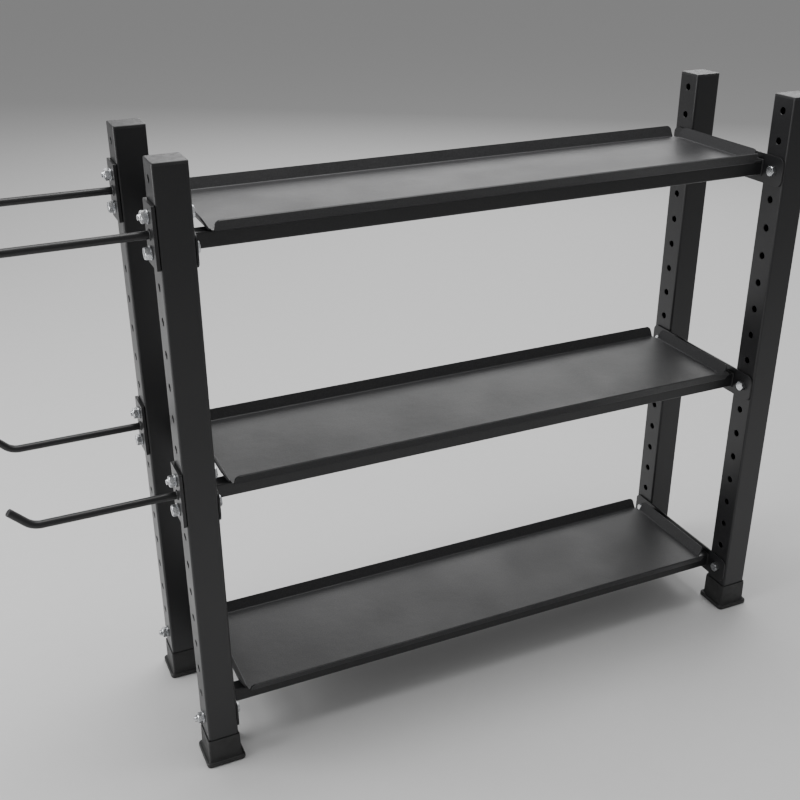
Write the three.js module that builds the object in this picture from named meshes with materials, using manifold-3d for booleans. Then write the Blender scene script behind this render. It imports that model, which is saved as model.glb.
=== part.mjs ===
import * as THREE from "three";
import { mergeVertices } from "three/addons/utils/BufferGeometryUtils.js";
import Module from "manifold-3d";

const wasm = await Module();
wasm.setup();

// Sizes are in millimetres. X runs along the rack, Y from front to back, Z up from the floor.

// Gap left between two pieces that touch.
const CLEARANCE = 0.3;

// Straight sides given to each round hole, shank, turned corner and washer.
const HOLE_SIDES = 12;
const SHANK_SIDES = 12;
const WASHER_SIDES = 14;

// Overall sizes, taken over the uprights.
const RACK_LENGTH = 1104;
const RACK_DEPTH = 300;
const RACK_HEIGHT = 1010;

// Perforated square tube of the uprights.
const TUBE_SIZE = 50;
const TUBE_RADIUS = 4;
const TUBE_WALL = 2.5;
const HOLE_PITCH = 50;
const HOLE_FROM_TOP = 25;
const HOLE_LOWEST = 35;

// Cap pressed into the top of each upright.
const CAP_HEAD = 4;
const CAP_EDGE = 1.6;
const CAP_SKIRT = 12;
const CAP_WALL = 3;

// Rubber boot under each upright.
const BOOT_HEIGHT = 51;
const BOOT_SOLE = 10;
const BOOT_RIM = 1;
const BOOT_TAPER = 3;
const BOOT_FLANGE = 8;
const BOOT_FLANGE_HEIGHT = 9;
const BOOT_FLANGE_EDGE = 2.5;

// Welded shelf frame: two beams between two end plates.
const PLATE_THICKNESS = 3;
const PLATE_HEIGHT = 50;
const PLATE_INSET = 2;
const PLATE_RADIUS = 12;
const BEAM_SIZE = 25;
const BEAM_RADIUS = 3;
const BEAM_WALL = 2;
const BEAM_INSET = 51;
const VENT_DIAMETER = 6;
const VENT_FROM_END = 40;

// Folded sheet tray that drops into a shelf frame, its lips leaning outwards.
const SHEET = 2.5;
const TRAY_HEIGHT = 20;
const TRAY_INSET = 25;
const TRAY_CLEARANCE = 7.5;
const LIP_ANGLE = Math.PI / 3;
const BEND_RADIUS = 5;
const LONG_LIP_START = 16;
const SHORT_LIP_START = 24;
const LIP_CORNER = 8;

// Bolts with plain heads, and nuts with washers.
const BOLT_DIAMETER = 10;
const BOLT_PLAY = 2;
const BOLT_ALLOWANCE = 17;
const HEX_ACROSS_FLATS = 16;
const HEX_FACE_DIAMETER = 15;
const HEAD_HEIGHT = 6.4;
const NUT_HEIGHT = 8;
const WASHER_DIAMETER = 20;
const WASHER_THICKNESS = 2;

// Hooks on the left end.
const ROD_DIAMETER = 12;
const ROD_REACH = 200;
const ROD_BEND_RADIUS = 30;
const ROD_BEND_ANGLE = Math.PI / 4;
const ROD_TIP = 30;
const BRACKET_THICKNESS = 5;
const BRACKET_MARGIN = 20;
const BRACKET_RADIUS = 2.5;

// Sizes that follow from the ones above.
const TUBE_BOTTOM = BOOT_SOLE + CLEARANCE;
const TUBE_TOP = RACK_HEIGHT - CAP_HEAD - CLEARANCE;
const TUBE_BORE = TUBE_SIZE - 2 * TUBE_WALL;
const HOLE_DIAMETER = BOLT_DIAMETER + BOLT_PLAY;
const HOLE_SPAN = RACK_HEIGHT - HOLE_FROM_TOP - HOLE_LOWEST;
const HOLE_COUNT = Math.floor(HOLE_SPAN / HOLE_PITCH) + 1;
const FRAME_LENGTH = RACK_LENGTH - 2 * (TUBE_SIZE + CLEARANCE);
const BEAM_LENGTH = FRAME_LENGTH - 2 * PLATE_THICKNESS;
const BEAM_OFFSET = RACK_DEPTH / 2 - BEAM_INSET - BEAM_SIZE / 2;
const HEAD_STACK = CLEARANCE + HEAD_HEIGHT;
const TRAY_LENGTH = BEAM_LENGTH - 2 * (HEAD_STACK + TRAY_CLEARANCE);
const TRAY_DEPTH = RACK_DEPTH - 2 * TRAY_INSET;
const TRAY_BASE = BEAM_SIZE / 2 + CLEARANCE;
const LIP_RISE = TRAY_HEIGHT - SHEET * Math.cos(LIP_ANGLE);
const LIP_LEAN = LIP_RISE / Math.tan(LIP_ANGLE);
const FLOOR_START = LIP_LEAN + BEND_RADIUS * Math.tan(LIP_ANGLE / 2);
const ROW_OFFSET = (RACK_DEPTH - TUBE_SIZE) / 2;
const BOLT_LENGTH = TUBE_SIZE + PLATE_THICKNESS + BOLT_ALLOWANCE;

const POWDER_COAT = { color: 0x1c1d1f, roughness: 0.48, metalness: 0.55 };
const TRAY_COAT = { color: 0x242527, roughness: 0.42, metalness: 0.55 };
const BLACK_PLASTIC = { color: 0x222222, roughness: 0.5, metalness: 0 };
const BLACK_RUBBER = { color: 0x131313, roughness: 0.8, metalness: 0 };
const ZINC = { color: 0xc4c8cc, roughness: 0.3, metalness: 1 };

const SIDES = [
  { name: "left", sign: -1 },
  { name: "right", sign: 1 },
];
const ROWS = [
  { name: "front", y: -ROW_OFFSET },
  { name: "back", y: ROW_OFFSET },
];

const group = new THREE.Group();
group.name = "storage_rack";

// A closed geometry as a solid for cutting and joining.
function solidFrom(geometry) {
  const bare = new THREE.BufferGeometry();
  const source = geometry.index ? geometry.toNonIndexed() : geometry;
  bare.setAttribute("position", source.getAttribute("position"));
  const merged = mergeVertices(bare, 1e-4);
  return new wasm.Manifold(
    new wasm.Mesh({
      numProp: 3,
      vertProperties: merged.attributes.position.array,
      triVerts: new Uint32Array(merged.index.array),
    }),
  );
}

// A finished solid as a geometry for a mesh.
function geometryFrom(solid) {
  const mesh = solid.getMesh();
  const geometry = new THREE.BufferGeometry();
  geometry.setAttribute("position", new THREE.BufferAttribute(mesh.vertProperties, 3));
  geometry.setIndex(new THREE.BufferAttribute(mesh.triVerts, 1));
  geometry.computeVertexNormals();
  return geometry;
}

function joined(solids) {
  return solids.reduce((whole, next) => whole.add(next));
}

function addPiece(name, geometry, finish, x, y, z, turn = 0) {
  const mesh = new THREE.Mesh(geometry, new THREE.MeshStandardMaterial(finish));
  mesh.name = name;
  mesh.position.set(x, y, z);
  mesh.rotation.z = turn;
  group.add(mesh);
}

function box(width, depth, height, x, y, z) {
  return solidFrom(new THREE.BoxGeometry(width, depth, height).translate(x, y, z));
}

// A round bar along X, centred on the given point.
function barAlongX(diameter, length, x, y, z, segments) {
  const bar = new THREE.CylinderGeometry(diameter / 2, diameter / 2, length, segments);
  bar.rotateZ(Math.PI / 2);
  bar.translate(x, y, z);
  return solidFrom(bar);
}

function roundedRectangle(width, height, radius) {
  const right = width / 2 - radius;
  const top = height / 2 - radius;
  const shape = new THREE.Shape();
  shape.absarc(right, top, radius, 0, Math.PI / 2);
  shape.absarc(-right, top, radius, Math.PI / 2, Math.PI);
  shape.absarc(-right, -top, radius, Math.PI, 1.5 * Math.PI);
  shape.absarc(right, -top, radius, 1.5 * Math.PI, 2 * Math.PI);
  shape.closePath();
  return shape;
}

function extruded(shape, depth, curveSegments) {
  return new THREE.ExtrudeGeometry(shape, { depth, curveSegments, bevelEnabled: false });
}

// Turns a flat shape's X, Y and thickness to run along Y, Z and X, centred on X.
function facingX(geometry, depth) {
  const basis = new THREE.Matrix4().makeBasis(
    new THREE.Vector3(0, 1, 0),
    new THREE.Vector3(0, 0, 1),
    new THREE.Vector3(1, 0, 0),
  );
  return geometry.translate(0, 0, -depth / 2).applyMatrix4(basis);
}

// Turns a flat shape's X, Y and thickness to run along X, Z and Y, centred on Y.
function facingY(geometry, depth) {
  return geometry.translate(0, 0, -depth / 2).rotateX(Math.PI / 2);
}

// A rounded block whose lower end spreads by `spread` over its last `drop` millimetres.
function flaredBlock(size, radius, top, drop, spread, segments) {
  const flare = new THREE.ExtrudeGeometry(roundedRectangle(size, size, radius), {
    depth: 1,
    curveSegments: 2,
    bevelThickness: drop,
    bevelSize: spread,
    bevelSegments: segments,
  });
  flare.translate(0, 0, top - drop - 1);
  const reach = size + 4 * spread;
  return solidFrom(flare).intersect(box(reach, reach, drop, 0, 0, top - drop / 2));
}

function buildUpright() {
  const length = TUBE_TOP - TUBE_BOTTOM;
  const section = roundedRectangle(TUBE_SIZE, TUBE_SIZE, TUBE_RADIUS);
  section.holes.push(roundedRectangle(TUBE_BORE, TUBE_BORE, TUBE_RADIUS - TUBE_WALL));
  let tube = solidFrom(extruded(section, length, 2));
  for (const z of holeHeights()) {
    tube = tube.subtract(
      barAlongX(HOLE_DIAMETER, 2 * TUBE_SIZE, 0, 0, z - TUBE_BOTTOM, HOLE_SIDES),
    );
  }
  return tube;
}

function holeHeights() {
  const heights = [];
  for (let index = 0; index < HOLE_COUNT; index += 1) {
    heights.push(RACK_HEIGHT - HOLE_FROM_TOP - index * HOLE_PITCH);
  }
  return heights;
}

// Head on the tube's end with a hollow skirt inside the bore.
function buildCap() {
  const inner = TUBE_SIZE - 2 * CAP_EDGE;
  const head = flaredBlock(inner, TUBE_RADIUS - CAP_EDGE, CAP_HEAD, CAP_EDGE, CAP_EDGE, 2);
  const body = solidFrom(
    extruded(
      roundedRectangle(TUBE_SIZE, TUBE_SIZE, TUBE_RADIUS),
      CAP_HEAD - CAP_EDGE,
      2,
    ),
  );
  const plugSize = TUBE_BORE - 2 * CLEARANCE;
  const plugOutline = roundedRectangle(plugSize, plugSize, TUBE_RADIUS - TUBE_WALL);
  const plug = solidFrom(extruded(plugOutline, CAP_SKIRT + 1, 2).translate(0, 0, -CAP_SKIRT));
  const hollowSize = plugSize - 2 * CAP_WALL;
  const hollow = box(hollowSize, hollowSize, CAP_SKIRT, 0, 0, -CAP_SKIRT / 2);
  return joined([head, body, plug]).subtract(hollow);
}

// Tapered sleeve on a wider flange, with a pocket for the tube.
function buildBoot() {
  const rim = TUBE_SIZE + 2 * (CLEARANCE + BOOT_RIM);
  const sleeveDrop = BOOT_HEIGHT - BOOT_FLANGE_HEIGHT / 2;
  const sleeve = flaredBlock(rim, TUBE_RADIUS, BOOT_HEIGHT, sleeveDrop, BOOT_TAPER, 1);
  const flangeSize = TUBE_SIZE + 2 * BOOT_FLANGE;
  const flangeCore = flangeSize - 2 * BOOT_FLANGE_EDGE;
  const flange = new THREE.ExtrudeGeometry(
    roundedRectangle(flangeCore, flangeCore, TUBE_RADIUS),
    {
      depth: BOOT_FLANGE_HEIGHT - 2 * BOOT_FLANGE_EDGE,
      curveSegments: 2,
      bevelThickness: BOOT_FLANGE_EDGE,
      bevelSize: BOOT_FLANGE_EDGE,
      bevelSegments: 2,
    },
  );
  flange.translate(0, 0, BOOT_FLANGE_EDGE);
  const pocketSize = TUBE_SIZE + 2 * CLEARANCE;
  const pocket = extruded(
    roundedRectangle(pocketSize, pocketSize, TUBE_RADIUS),
    BOOT_HEIGHT,
    2,
  );
  pocket.translate(0, 0, BOOT_SOLE);
  return joined([sleeve, solidFrom(flange)]).subtract(solidFrom(pocket));
}

// Two hollow beams welded between two end plates, centred on the bolt axis.
function buildShelfFrame() {
  const solids = [];
  const cuts = [];
  for (const side of SIDES) {
    const plate = facingX(
      extruded(
        roundedRectangle(RACK_DEPTH - 2 * PLATE_INSET, PLATE_HEIGHT, PLATE_RADIUS),
        PLATE_THICKNESS,
        4,
      ),
      PLATE_THICKNESS,
    );
    const x = (side.sign * (FRAME_LENGTH - PLATE_THICKNESS)) / 2;
    solids.push(solidFrom(plate.translate(x, 0, 0)));
    for (const row of ROWS) {
      cuts.push(barAlongX(HOLE_DIAMETER, 3 * PLATE_THICKNESS, x, row.y, 0, HOLE_SIDES));
    }
  }
  for (const row of ROWS) {
    const y = Math.sign(row.y) * BEAM_OFFSET;
    const beam = roundedRectangle(BEAM_SIZE, BEAM_SIZE, BEAM_RADIUS);
    const length = BEAM_LENGTH + PLATE_THICKNESS;
    solids.push(solidFrom(facingX(extruded(beam, length, 2), length).translate(0, y, 0)));
    const boreSize = BEAM_SIZE - 2 * BEAM_WALL;
    cuts.push(box(BEAM_LENGTH, boreSize, boreSize, 0, y, 0));
    for (const side of SIDES) {
      const vent = new THREE.CylinderGeometry(VENT_DIAMETER / 2, VENT_DIAMETER / 2, BEAM_SIZE / 2, 12);
      vent.rotateX(Math.PI / 2);
      vent.translate(side.sign * (BEAM_LENGTH / 2 - VENT_FROM_END), y, -BEAM_SIZE / 2);
      cuts.push(solidFrom(vent));
    }
  }
  return joined(solids).subtract(joined(cuts));
}

// Section of a sheet folded up and outwards at both edges, its underside at zero.
function channelSection(width) {
  const outer = width / 2;
  const bend = outer - FLOOR_START;
  const innerRadius = BEND_RADIUS - SHEET;
  const faceAngle = LIP_ANGLE - Math.PI / 2;
  const innerX = outer - SHEET * Math.sin(LIP_ANGLE);
  const shape = new THREE.Shape();
  shape.moveTo(-outer, LIP_RISE);
  shape.absarc(-bend, BEND_RADIUS, BEND_RADIUS, -Math.PI - faceAngle, -Math.PI / 2);
  shape.absarc(bend, BEND_RADIUS, BEND_RADIUS, -Math.PI / 2, faceAngle);
  shape.lineTo(outer, LIP_RISE);
  shape.lineTo(innerX, TRAY_HEIGHT);
  shape.absarc(bend, BEND_RADIUS, innerRadius, faceAngle, -Math.PI / 2, true);
  shape.absarc(-bend, BEND_RADIUS, innerRadius, -Math.PI / 2, -Math.PI - faceAngle, true);
  shape.lineTo(-innerX, TRAY_HEIGHT);
  shape.closePath();
  return shape;
}

// Outline of a lip seen from its face: square at the bottom, rounded at the top.
function lipOutline(length) {
  const half = length / 2;
  const shape = new THREE.Shape();
  shape.moveTo(-half, -1);
  shape.lineTo(half, -1);
  shape.absarc(half - LIP_CORNER, TRAY_HEIGHT - LIP_CORNER, LIP_CORNER, 0, Math.PI / 2);
  shape.absarc(LIP_CORNER - half, TRAY_HEIGHT - LIP_CORNER, LIP_CORNER, Math.PI / 2, Math.PI);
  shape.closePath();
  return shape;
}

// Folded sheet with a lip on all four edges and open corners.
function buildTray() {
  const longLip = TRAY_LENGTH - 2 * LONG_LIP_START;
  const shortLip = TRAY_DEPTH - 2 * SHORT_LIP_START;
  const longChannel = facingX(extruded(channelSection(TRAY_DEPTH), longLip, 3), longLip);
  const shortChannel = facingY(extruded(channelSection(TRAY_LENGTH), shortLip, 3), shortLip);
  const longOutline = facingY(extruded(lipOutline(longLip), 2 * TRAY_DEPTH, 3), 2 * TRAY_DEPTH);
  const shortOutline = facingX(
    extruded(lipOutline(shortLip), 2 * TRAY_LENGTH, 3),
    2 * TRAY_LENGTH,
  );
  const floor = box(
    TRAY_LENGTH - 2 * FLOOR_START,
    TRAY_DEPTH - 2 * FLOOR_START,
    SHEET,
    0,
    0,
    SHEET / 2,
  );
  return joined([
    solidFrom(longChannel).intersect(solidFrom(longOutline)),
    solidFrom(shortChannel).intersect(solidFrom(shortOutline)),
    floor,
  ]);
}

// Hexagon along X from zero, with the corners of its outer end turned off round.
function hexagon(height) {
  const cornerRadius = HEX_ACROSS_FLATS / 2 / Math.cos(Math.PI / 6);
  const corners = [];
  for (let corner = 0; corner < 6; corner += 1) {
    const angle = (corner * Math.PI) / 3;
    corners.push(
      new THREE.Vector2(cornerRadius * Math.sin(angle), -cornerRadius * Math.cos(angle)),
    );
  }
  const outline = new THREE.Shape(corners);
  const prism = facingX(extruded(outline, height, 1), height).translate(height / 2, 0, 0);
  const rim = cornerRadius + 2;
  const turnedOff = new THREE.LatheGeometry(
    [
      new THREE.Vector2(HEX_FACE_DIAMETER / 2, height + 1),
      new THREE.Vector2(HEX_FACE_DIAMETER / 2, height),
      new THREE.Vector2(rim, height - (rim - HEX_FACE_DIAMETER / 2) / 2),
      new THREE.Vector2(rim, height + 1),
      new THREE.Vector2(HEX_FACE_DIAMETER / 2, height + 1),
    ],
    SHANK_SIDES,
    Math.PI / SHANK_SIDES,
  );
  return solidFrom(prism).subtract(solidFrom(turnedOff.rotateZ(-Math.PI / 2)));
}

// Bearing face at zero, head towards +X, shank towards -X.
function buildBolt() {
  const head = hexagon(HEAD_HEIGHT);
  const shankEnd = -BOLT_LENGTH;
  const radius = BOLT_DIAMETER / 2;
  const shank = new THREE.LatheGeometry(
    [
      new THREE.Vector2(0, shankEnd),
      new THREE.Vector2(radius - 1, shankEnd),
      new THREE.Vector2(radius, shankEnd + 1),
      new THREE.Vector2(radius, 1),
      new THREE.Vector2(0, 1),
    ],
    SHANK_SIDES,
  );
  return joined([head, solidFrom(shank.rotateZ(-Math.PI / 2))]);
}

// Washer face at zero, nut towards +X, open bore.
function buildNut() {
  const middle = WASHER_THICKNESS / 2;
  const washer = barAlongX(WASHER_DIAMETER, WASHER_THICKNESS, middle, 0, 0, WASHER_SIDES);
  const nut = hexagon(NUT_HEIGHT).translate([WASHER_THICKNESS, 0, 0]);
  const boreDiameter = BOLT_DIAMETER + 2 * CLEARANCE;
  const length = NUT_HEIGHT + WASHER_THICKNESS;
  const bore = barAlongX(boreDiameter, length + 2, length / 2, 0, 0, SHANK_SIDES);
  return joined([washer, nut]).subtract(bore);
}

// Path through listed stations, one station for each step of an extrusion.
class StationPath extends THREE.Curve {
  constructor(stations) {
    super();
    this.stations = stations;
  }

  stationAt(share) {
    return this.stations[Math.round(share * (this.stations.length - 1))];
  }

  getPointAt(share, target = new THREE.Vector3()) {
    return target.copy(this.stationAt(share).point);
  }

  getTangentAt(share, target = new THREE.Vector3()) {
    return target.copy(this.stationAt(share).direction);
  }
}

// Stations of the rod: straight out along -X, round the bend, then up the tip.
function rodStations() {
  const steps = 8;
  const out = new THREE.Vector3(-1, 0, 0);
  const stations = [
    { point: new THREE.Vector3(-BRACKET_THICKNESS / 2, 0, 0), direction: out },
  ];
  for (let step = 0; step <= steps; step += 1) {
    const angle = (ROD_BEND_ANGLE * step) / steps;
    const x = -ROD_REACH - ROD_BEND_RADIUS * Math.sin(angle);
    const z = ROD_BEND_RADIUS * (1 - Math.cos(angle));
    stations.push({
      point: new THREE.Vector3(x, 0, z),
      direction: new THREE.Vector3(-Math.cos(angle), 0, Math.sin(angle)),
    });
  }
  const last = stations[stations.length - 1];
  stations.push({
    point: last.point.clone().addScaledVector(last.direction, ROD_TIP),
    direction: last.direction,
  });
  return stations;
}

// Bracket plate with its rod, measured from the outer face of an upright.
function buildHook() {
  const height = HOLE_PITCH + 2 * BRACKET_MARGIN;
  const plate = facingX(
    extruded(roundedRectangle(TUBE_SIZE, height, BRACKET_RADIUS), BRACKET_THICKNESS, 2),
    BRACKET_THICKNESS,
  );
  plate.translate(-CLEARANCE - BRACKET_THICKNESS / 2, 0, 0);
  const stations = rodStations();
  const rodSection = new THREE.Shape().absarc(0, 0, ROD_DIAMETER / 2, 0, 2 * Math.PI);
  const rod = new THREE.ExtrudeGeometry(rodSection, {
    steps: stations.length - 1,
    curveSegments: 8,
    extrudePath: new StationPath(stations),
  });
  let hook = solidFrom(plate).add(solidFrom(rod));
  for (const z of [-HOLE_PITCH / 2, HOLE_PITCH / 2]) {
    hook = hook.subtract(barAlongX(HOLE_DIAMETER, 4 * BRACKET_THICKNESS, 0, 0, z, HOLE_SIDES));
  }
  return hook;
}

const heights = holeHeights();
const topIndex = 2;
const bottomIndex = HOLE_COUNT - 2;
const middleIndex = Math.round((topIndex + bottomIndex) / 2);
const LEVELS = [
  { name: "top", z: heights[topIndex], hook: "upper" },
  { name: "middle", z: heights[middleIndex], hook: "lower" },
  { name: "bottom", z: heights[bottomIndex], hook: null },
];

const uprightGeometry = geometryFrom(buildUpright());
const capGeometry = geometryFrom(buildCap());
const bootGeometry = geometryFrom(buildBoot());
for (const side of SIDES) {
  const x = (side.sign * (RACK_LENGTH - TUBE_SIZE)) / 2;
  for (const row of ROWS) {
    const corner = `${row.name}_${side.name}`;
    addPiece(`upright_${corner}`, uprightGeometry, POWDER_COAT, x, row.y, TUBE_BOTTOM);
    addPiece(`cap_${corner}`, capGeometry, BLACK_PLASTIC, x, row.y, RACK_HEIGHT - CAP_HEAD);
    addPiece(`boot_${corner}`, bootGeometry, BLACK_RUBBER, x, row.y, 0);
  }
}

const frameGeometry = geometryFrom(buildShelfFrame());
const trayGeometry = geometryFrom(buildTray());
for (const level of LEVELS) {
  addPiece(`shelf_frame_${level.name}`, frameGeometry, POWDER_COAT, 0, 0, level.z);
  addPiece(`tray_${level.name}`, trayGeometry, TRAY_COAT, 0, 0, level.z + TRAY_BASE);
}

const boltGeometry = geometryFrom(buildBolt());
const nutGeometry = geometryFrom(buildNut());
const hookGeometry = geometryFrom(buildHook());
const outerFace = RACK_LENGTH / 2;
const innerFace = outerFace - TUBE_SIZE;
const plateFace = innerFace - CLEARANCE - PLATE_THICKNESS;
const bracketFace = outerFace + CLEARANCE + BRACKET_THICKNESS;

// Adds a bolt whose head bears on one face and the nut that bears on another.
function addFastener(name, side, headFace, nutFace, y, z) {
  const headTurn = side.sign > 0 ? Math.PI : 0;
  const nutTurn = Math.PI - headTurn;
  const headX = side.sign * (headFace - CLEARANCE);
  const nutX = side.sign * (nutFace + CLEARANCE);
  addPiece(`bolt_${name}`, boltGeometry, ZINC, headX, y, z, headTurn);
  addPiece(`nut_${name}`, nutGeometry, ZINC, nutX, y, z, nutTurn);
}

for (const level of LEVELS) {
  for (const side of SIDES) {
    const behindBracket = side.sign < 0 && level.hook;
    const nutFace = behindBracket ? bracketFace : outerFace;
    for (const row of ROWS) {
      const name = `${level.name}_${row.name}_${side.name}`;
      addFastener(name, side, plateFace, nutFace, row.y, level.z);
    }
  }
}

for (const level of LEVELS.filter((entry) => entry.hook)) {
  for (const row of ROWS) {
    const rodHeight = level.z + HOLE_PITCH / 2;
    addPiece(
      `hook_${level.hook}_${row.name}`,
      hookGeometry,
      POWDER_COAT,
      -outerFace,
      row.y,
      rodHeight,
    );
    const name = `hook_${level.hook}_${row.name}`;
    addFastener(name, SIDES[0], innerFace, bracketFace, row.y, level.z + HOLE_PITCH);
  }
}

// The origin stands under the middle of the whole rack, hooks included.
const bounds = new THREE.Box3().setFromObject(group);
group.position.x = -(bounds.min.x + bounds.max.x) / 2;

export default group;
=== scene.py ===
"""A black storage rack: perforated uprights, lipped trays on welded frames, and hook rods."""

import logging
import math
from collections.abc import Callable, Iterator
from contextlib import contextmanager
from dataclasses import dataclass, field
from enum import Enum

import bmesh
import bpy
from mathutils import Matrix, Vector


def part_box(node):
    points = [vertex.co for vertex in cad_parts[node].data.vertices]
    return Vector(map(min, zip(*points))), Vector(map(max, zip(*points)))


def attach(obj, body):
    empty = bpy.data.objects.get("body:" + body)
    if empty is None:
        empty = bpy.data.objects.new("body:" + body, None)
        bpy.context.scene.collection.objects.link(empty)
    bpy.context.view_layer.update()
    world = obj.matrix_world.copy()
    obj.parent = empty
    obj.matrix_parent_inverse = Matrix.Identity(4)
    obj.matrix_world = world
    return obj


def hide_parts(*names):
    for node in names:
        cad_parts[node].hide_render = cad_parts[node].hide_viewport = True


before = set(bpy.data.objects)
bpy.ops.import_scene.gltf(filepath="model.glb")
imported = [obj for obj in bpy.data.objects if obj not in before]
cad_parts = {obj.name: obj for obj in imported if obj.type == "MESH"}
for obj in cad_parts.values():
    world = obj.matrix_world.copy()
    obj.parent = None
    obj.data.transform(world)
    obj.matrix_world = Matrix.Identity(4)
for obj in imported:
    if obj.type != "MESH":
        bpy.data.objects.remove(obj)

logging.basicConfig(level=logging.INFO, format="%(message)s")
LOG = logging.getLogger("storage_rack")

Element = bmesh.types.BMVert | bmesh.types.BMEdge | bmesh.types.BMFace

RACK_BODY = "rack"

X = Vector((1, 0, 0))
Y = Vector((0, 1, 0))
Z = Vector((0, 0, 1))


class Side(Enum):
    """The two ends of the rack."""

    LEFT = -1
    RIGHT = 1

    @property
    def word(self) -> str:
        """The end's name as the nodes spell it."""
        return self.name.lower()


class Row(Enum):
    """The two rows of uprights."""

    FRONT = -1
    BACK = 1

    @property
    def word(self) -> str:
        """The row's name as the nodes spell it."""
        return self.name.lower()


CORNERS = [f"{row.word}_{side.word}" for side in Side for row in Row]
LEVELS = ["top", "middle", "bottom"]


class Axis(Enum):
    """The direction a round primitive runs in, as its rotation."""

    X = (0.0, math.pi / 2, 0.0)
    Y = (math.pi / 2, 0.0, 0.0)
    Z = (0.0, 0.0, 0.0)


class Pick(Enum):
    """What an edit selects: its select mode, and where a mesh keeps it."""

    VERTICES = ("VERT", "verts")
    EDGES = ("EDGE", "edges")
    FACES = ("FACE", "faces")


# ---------------------------------------------------------------- modelling helpers


def rest() -> None:
    """Goes back to object mode with nothing selected."""
    if bpy.context.mode != "OBJECT":
        bpy.ops.object.mode_set(mode="OBJECT")
    bpy.ops.object.select_all(action="DESELECT")


def only(piece: bpy.types.Object) -> None:
    """Selects one piece and makes it the active one.

    Args:
        piece: The piece to select.
    """
    rest()
    piece.select_set(True)
    bpy.context.view_layer.objects.active = piece


def settle(piece: bpy.types.Object) -> None:
    """Moves the piece's place, turn and size into its mesh."""
    only(piece)
    bpy.ops.object.transform_apply(location=True, rotation=True, scale=True)


def add_block(name: str, low: Vector, high: Vector) -> bpy.types.Object:
    """Adds a block between two corners.

    Args:
        name: The new object's name.
        low: Its lowest corner.
        high: Its highest corner.

    Returns:
        The block, with its place in its mesh.
    """
    rest()
    bpy.ops.mesh.primitive_cube_add(size=1, location=(low + high) / 2)
    block = bpy.context.active_object
    block.name = name
    block.scale = high - low
    settle(block)
    return block


def add_round(
    name: str, radius: float, length: float, centre: Vector, axis: Axis, sides: int = 48
) -> bpy.types.Object:
    """Adds a round bar.

    Args:
        name: The new object's name.
        radius: Its radius.
        length: Its length along the axis.
        centre: Its middle.
        axis: The direction it runs in.
        sides: How many flats stand for the round.

    Returns:
        The bar, with its place in its mesh.
    """
    rest()
    bpy.ops.mesh.primitive_cylinder_add(
        vertices=sides, radius=radius, depth=length, location=centre, rotation=axis.value
    )
    bar = bpy.context.active_object
    bar.name = name
    settle(bar)
    return bar


@contextmanager
def editing(
    piece: bpy.types.Object, pick: Pick, test: Callable[[Element], bool] | None = None
) -> Iterator[None]:
    """Opens a piece for editing, and selects what passes a test.

    Args:
        piece: The piece to edit.
        pick: What the edit selects.
        test: Which of it is selected, all of it if there is no test.

    Returns:
        A context in which the piece is open.
    """
    mode, store = pick.value
    only(piece)
    bpy.ops.object.mode_set(mode="EDIT")
    bpy.ops.mesh.select_mode(type=mode)
    bpy.ops.mesh.select_all(action="SELECT" if test is None else "DESELECT")
    if test is not None:
        mesh = bmesh.from_edit_mesh(piece.data)
        for part in getattr(mesh, store):
            if test(part):
                part.select_set(True)
        bmesh.update_edit_mesh(piece.data)
    yield
    bpy.ops.object.mode_set(mode="OBJECT")


def extrude(step: Vector) -> None:
    """Extrudes what is selected by one step."""
    bpy.ops.mesh.extrude_region_move(TRANSFORM_OT_translate={"value": step})


def along(edge: bmesh.types.BMEdge, direction: Vector) -> bool:
    """Whether an edge runs along a direction."""
    span = edge.verts[1].co - edge.verts[0].co
    return span.length > 0 and abs(span.normalized().dot(direction)) > 0.999


def round_edges(
    piece: bpy.types.Object,
    radius: float,
    segments: int,
    test: Callable[[bmesh.types.BMEdge], bool],
) -> None:
    """Bevels the edges that pass a test.

    Args:
        piece: The piece to shape.
        radius: The width of the bevel.
        segments: How many strips it has.
        test: Which edges it takes.
    """
    with editing(piece, Pick.EDGES, test):
        bpy.ops.mesh.bevel(
            offset_type="OFFSET",
            offset=radius,
            segments=segments,
            profile=0.5,
            affect="EDGES",
            clamp_overlap=True,
        )


def apply_modifier(piece: bpy.types.Object, kind: str, **settings: object) -> None:
    """Adds a modifier to a piece and applies it.

    Args:
        piece: The piece to shape.
        kind: The modifier's type.
        settings: Its settings by name.
    """
    only(piece)
    modifier = piece.modifiers.new(kind.lower(), kind)
    for setting, value in settings.items():
        setattr(modifier, setting, value)
    bpy.ops.object.modifier_apply(modifier=modifier.name)


def combine(
    piece: bpy.types.Object, tool: bpy.types.Object, operation: str = "DIFFERENCE"
) -> None:
    """Cuts or joins a piece with a tool, and removes the tool.

    Args:
        piece: The piece to shape.
        tool: The solid that shapes it.
        operation: DIFFERENCE, UNION or INTERSECT.
    """
    apply_modifier(piece, "BOOLEAN", operation=operation, solver="EXACT", object=tool)
    bpy.data.objects.remove(tool, do_unlink=True)


def soften(piece: bpy.types.Object, width: float, segments: int = 2, angle: float = 40) -> None:
    """Rounds every sharp edge of a piece a little.

    Args:
        piece: The piece to shape.
        width: The width of the rounding.
        segments: How many strips it has.
        angle: The smallest angle, in degrees, that counts as sharp.
    """
    apply_modifier(
        piece,
        "BEVEL",
        width=width,
        segments=segments,
        limit_method="ANGLE",
        angle_limit=math.radians(angle),
        use_clamp_overlap=True,
    )


def smooth(piece: bpy.types.Object, angle: float = 35) -> None:
    """Shades a piece smooth below an angle in degrees, with its flats kept flat.

    Args:
        piece: The piece to shade.
        angle: The angle, in degrees.
    """
    only(piece)
    bpy.ops.object.shade_smooth_by_angle(angle=math.radians(angle))
    apply_modifier(piece, "WEIGHTED_NORMAL", keep_sharp=True, weight=50)


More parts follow.
